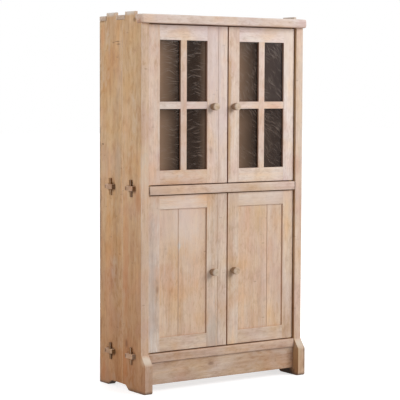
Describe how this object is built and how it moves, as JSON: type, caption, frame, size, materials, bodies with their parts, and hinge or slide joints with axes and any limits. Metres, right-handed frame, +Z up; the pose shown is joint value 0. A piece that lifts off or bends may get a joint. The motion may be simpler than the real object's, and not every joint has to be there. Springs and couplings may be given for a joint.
{
  "type": "four-door cabinet",
  "caption": "Tall solid-wood cabinet with glazed doors above panelled doors, thick side slabs with feet, and shelves held by wedged through tenons.",
  "frame": {"origin": "on the floor, at the centre of the bounding box", "axes": "+X to the viewer's right, +Y to the back, +Z up"},
  "size_m": [1.038, 0.436, 1.887],
  "materials": {
    "front_wood": "bleached, matt",
    "side_wood": "bleached, matt",
    "inner_wood": "raw, matt",
    "wedge_wood": "dark, matt",
    "pane_glass": "old drawn glass",
    "pin_brass": "turned"
  },
  "bodies": {
    "carcass": {"left_side_front_plank": "side_wood", "left_side_rear_plank": "side_wood", "right_side_front_plank": "side_wood", "right_side_rear_plank": "side_wood", "top_board": "front_wood", "top_front_rail": "front_wood", "mid_rail": "front_wood", "base_rail": "front_wood", "apron": "front_wood", "mid_shelf": "side_wood", "bottom_shelf": "side_wood", "left_tusk_wedges": "wedge_wood", "right_tusk_wedges": "wedge_wood", "back_board_1": "inner_wood", "back_board_2": "inner_wood", "back_board_3": "inner_wood", "upper_inner_shelf": "inner_wood", "lower_inner_shelf": "inner_wood", "shelf_cleats": "inner_wood", "upper_door_stop": "inner_wood", "lower_door_stop": "inner_wood"},
    "upper_left_door": {"upper_left_hinge_stile": "front_wood", "upper_left_meeting_stile": "front_wood", "upper_left_foot_rail": "front_wood", "upper_left_head_rail": "front_wood", "upper_left_upright_bar": "front_wood", "upper_left_cross_bars": "front_wood", "upper_left_glass_panes": "pane_glass", "upper_left_glazing_beads": "inner_wood", "upper_left_knob": "front_wood", "upper_left_pivot_pins": "pin_brass", "upper_meeting_strip": "front_wood"},
    "upper_right_door": {"upper_right_hinge_stile": "front_wood", "upper_right_meeting_stile": "front_wood", "upper_right_foot_rail": "front_wood", "upper_right_head_rail": "front_wood", "upper_right_upright_bar": "front_wood", "upper_right_cross_bars": "front_wood", "upper_right_glass_panes": "pane_glass", "upper_right_glazing_beads": "inner_wood", "upper_right_knob": "front_wood", "upper_right_pivot_pins": "pin_brass"},
    "lower_left_door": {"lower_left_hinge_stile": "front_wood", "lower_left_meeting_stile": "front_wood", "lower_left_foot_rail": "front_wood", "lower_left_head_rail": "front_wood", "lower_left_hinge_panel_board": "front_wood", "lower_left_meeting_panel_board": "front_wood", "lower_left_knob": "front_wood", "lower_left_pivot_pins": "pin_brass", "lower_meeting_strip": "front_wood"},
    "lower_right_door": {"lower_right_hinge_stile": "front_wood", "lower_right_meeting_stile": "front_wood", "lower_right_foot_rail": "front_wood", "lower_right_head_rail": "front_wood", "lower_right_hinge_panel_board": "front_wood", "lower_right_meeting_panel_board": "front_wood", "lower_right_knob": "front_wood", "lower_right_pivot_pins": "pin_brass"}
  },
  "joints": [
    {"name": "upper_left_door_hinge", "type": "hinge", "parent": "carcass", "child": "upper_left_door", "pos_m": [-0.44, -0.155, 1.4275], "axis": [0, 0, -1], "range_deg": [0, 95]},
    {"name": "upper_right_door_hinge", "type": "hinge", "parent": "carcass", "child": "upper_right_door", "pos_m": [0.44, -0.155, 1.4275], "axis": [0, 0, 1], "range_deg": [0, 95]},
    {"name": "lower_left_door_hinge", "type": "hinge", "parent": "carcass", "child": "lower_left_door", "pos_m": [-0.44, -0.155, 0.5885], "axis": [0, 0, -1], "range_deg": [0, 95]},
    {"name": "lower_right_door_hinge", "type": "hinge", "parent": "carcass", "child": "lower_right_door", "pos_m": [0.44, -0.155, 0.5885], "axis": [0, 0, 1], "range_deg": [0, 95]}
  ]
}
